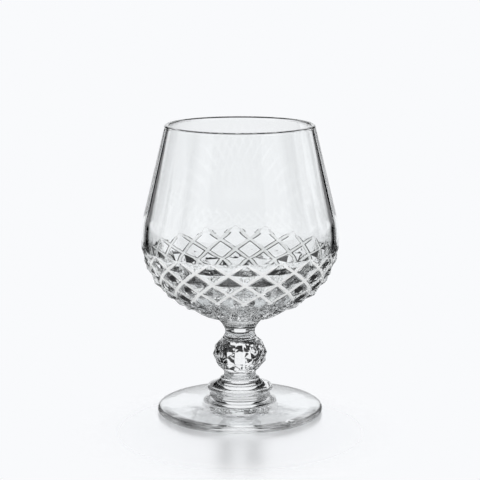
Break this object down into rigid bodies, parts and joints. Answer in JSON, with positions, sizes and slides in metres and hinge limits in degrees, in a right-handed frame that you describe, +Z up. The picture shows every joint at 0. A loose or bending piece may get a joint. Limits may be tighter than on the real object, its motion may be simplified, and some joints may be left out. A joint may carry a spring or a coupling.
{
  "type": "brandy snifter",
  "caption": "Stemmed glass with a wide bowl narrowing to its mouth, diamond-cut round its lower half, on a cut knop, flared collar and round foot; holds a measure of brandy.",
  "frame": {"origin": "centre of the foot's underside, on the plane it stands on", "axes": "+Z up along the axis of the glass, -Y towards the viewer of the picture, +X to the viewer's right"},
  "size_m": [0.088, 0.088, 0.13],
  "materials": {
    "clear_glass": "fire-polished and cut, colourless"
  },
  "bodies": {
    "root": {"bowl": "clear_glass", "neck": "clear_glass", "knop": "clear_glass", "collar": "clear_glass", "foot": "clear_glass"}
  },
  "joints": []
}
